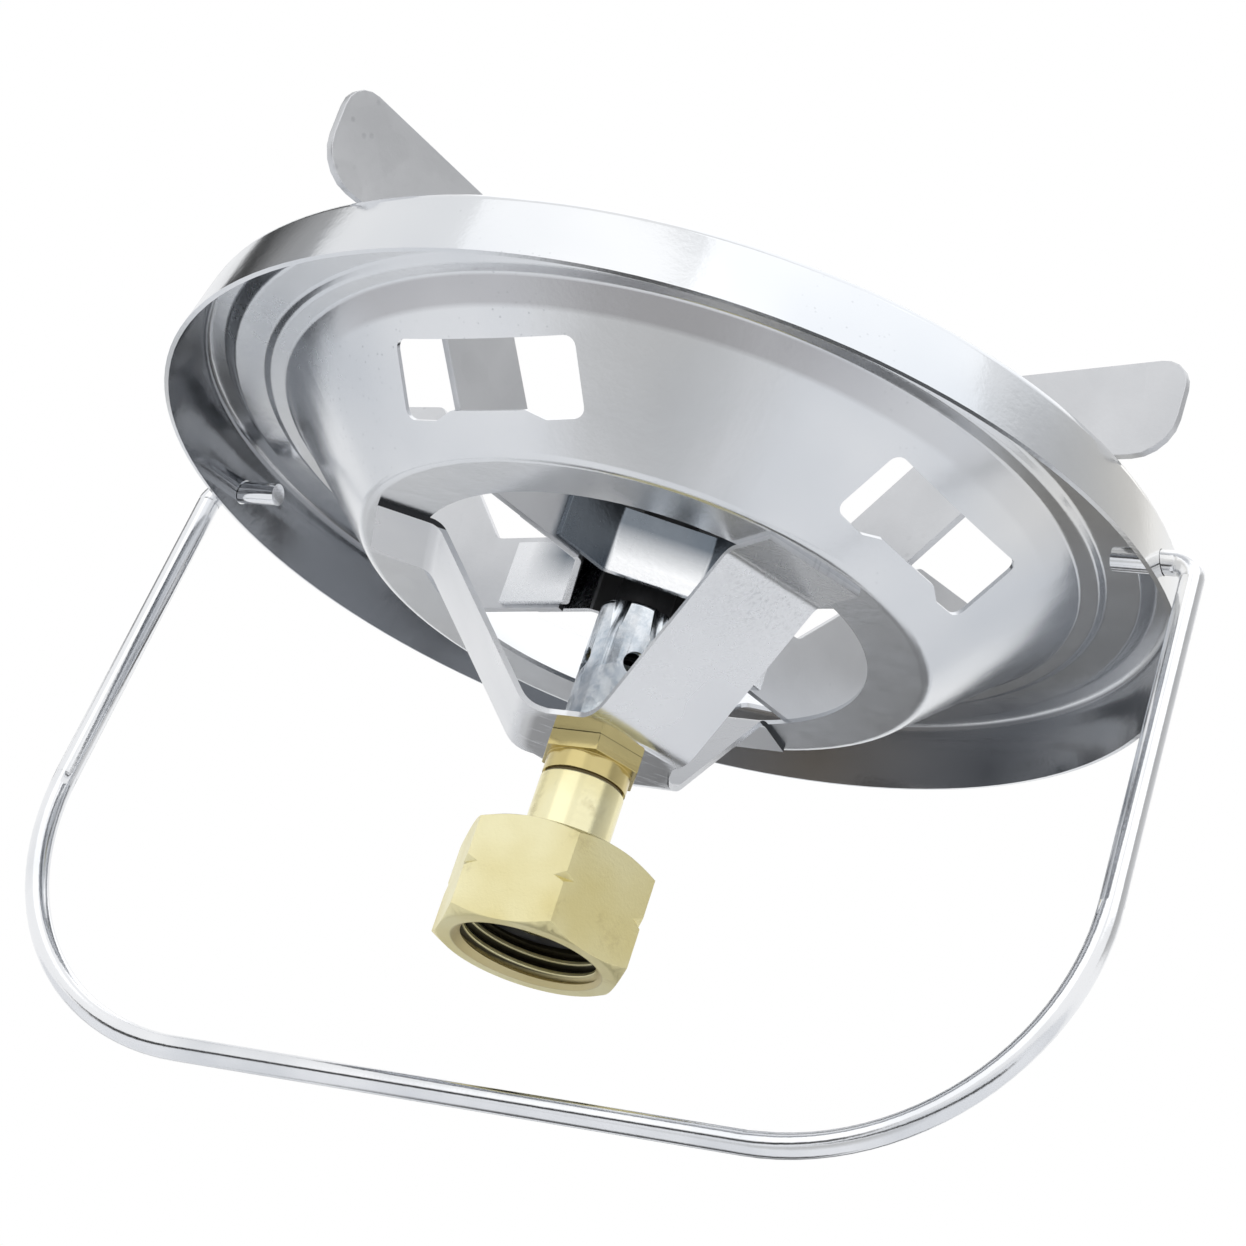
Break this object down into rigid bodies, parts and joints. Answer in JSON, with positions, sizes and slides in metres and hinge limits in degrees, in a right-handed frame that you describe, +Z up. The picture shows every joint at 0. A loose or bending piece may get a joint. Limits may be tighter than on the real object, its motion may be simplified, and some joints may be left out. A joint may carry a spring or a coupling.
{
  "type": "portable gas stove",
  "caption": "Round plated wind-shield pan with a blade pot support and a burner, on a brass stem with a union nut for a gas cylinder, and a swinging wire bail.",
  "frame": {"origin": "on the axis where the union nut's thread begins, just inside its mouth", "axes": "+Z up along the gas tube, -Y towards the side that the picture shows, +X to its right"},
  "size_m": [0.154, 0.154, 0.1193],
  "materials": {
    "plated_sheet": "bright plated pressed sheet steel, softly blurred reflections",
    "bracket_sheet": "plated sheet steel with fine handling scratches",
    "brass": "turned and machined pale brass, satin",
    "fibre": "pressed tan fibre washer, matte",
    "gauze": "fine woven wire gauze",
    "black_rubber": "black gas rubber, matte",
    "zinc_tube": "bluish zinc plated steel tube, mottled",
    "burner_iron": "dark grey burner metal, dry",
    "galvanised_blade": "matte grey galvanised sheet with specks",
    "bright_wire": "bright drawn wire"
  },
  "bodies": {
    "stove": {"pan": "plated_sheet", "bracket": "bracket_sheet", "lock_washer": "bracket_sheet", "hex_connector": "brass", "jet": "brass", "joint_washer": "fibre", "tailpiece": "brass", "gas_filter": "gauze", "filter_ring": "brass", "nut_seal": "black_rubber", "burner_tube": "zinc_tube", "burner_cup": "burner_iron", "flame_ring": "burner_iron", "burner_cap": "burner_iron", "front_left_blade": "galvanised_blade", "front_right_blade": "galvanised_blade", "back_left_blade": "galvanised_blade", "back_right_blade": "galvanised_blade", "front_strap": "galvanised_blade", "back_strap": "galvanised_blade", "left_strap": "galvanised_blade", "right_strap": "galvanised_blade"},
    "nut": {"union_nut": "brass"},
    "bail": {"bail": "bright_wire"}
  },
  "joints": [
    {"name": "nut_swivel", "type": "hinge", "parent": "stove", "child": "nut", "pos_m": [0, 0, 0], "axis": [0, 0, 1], "continuous": true},
    {"name": "bail_swing", "type": "hinge", "parent": "stove", "child": "bail", "pos_m": [0, 0, 0.0688], "axis": [0.8572, -0.515, 0], "continuous": true}
  ]
}
